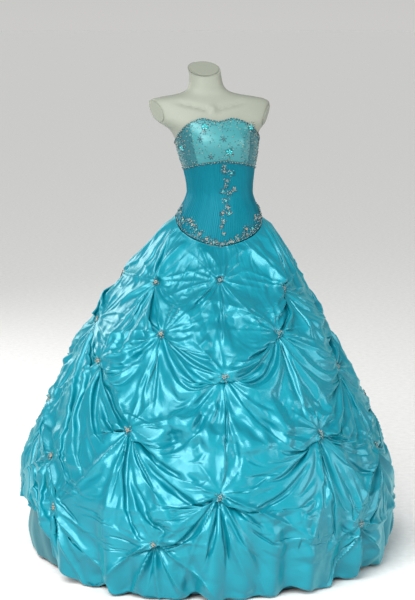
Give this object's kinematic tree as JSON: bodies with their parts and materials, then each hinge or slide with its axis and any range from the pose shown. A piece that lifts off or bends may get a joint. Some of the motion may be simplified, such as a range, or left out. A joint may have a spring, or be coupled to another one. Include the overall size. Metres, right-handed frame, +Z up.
{
  "type": "ballroom gown on a dress form",
  "caption": "Turquoise strapless ballroom gown with a beaded bust band, pleated basque midriff and full pick-up taffeta skirt, on a cream limbless dress form and stand",
  "frame": {"origin": "centre of the stand base's underside, on the floor", "axes": "+Z up; the gown's front faces -Y; +X is the wearer's left"},
  "size_m": [1.2143, 1.2359, 1.5876],
  "materials": {
    "taffeta": "turquoise shot taffeta with a pale sheen",
    "under_taffeta": "plain deeper turquoise taffeta",
    "bust_satin": "pale turquoise satin",
    "bead_cord": "small dark teal glass beads",
    "form_cream": "matt cream",
    "stand_steel": "brushed"
  },
  "bodies": {
    "root": {"form_torso": "form_cream", "form_neck_cap": "form_cream", "form_arm_cap_left": "form_cream", "form_arm_cap_right": "form_cream", "stand_pole": "stand_steel", "stand_base": "stand_steel", "bust_front": "bust_satin", "bust_side_left": "bust_satin", "bust_side_right": "bust_satin", "bust_back_left": "bust_satin", "bust_back_right": "bust_satin", "midriff_front": "taffeta", "midriff_back_left": "taffeta", "midriff_back_right": "taffeta", "neckline_cord": "bead_cord", "empire_cord": "bead_cord", "skirt_front": "taffeta", "skirt_side_front_left": "taffeta", "skirt_side_front_right": "taffeta", "skirt_side_left": "taffeta", "skirt_side_right": "taffeta", "skirt_back_left": "taffeta", "skirt_back_right": "taffeta", "underskirt_front": "under_taffeta", "underskirt_side_left": "under_taffeta", "underskirt_side_right": "under_taffeta", "underskirt_back_left": "under_taffeta", "underskirt_back_right": "under_taffeta"}
  },
  "joints": []
}
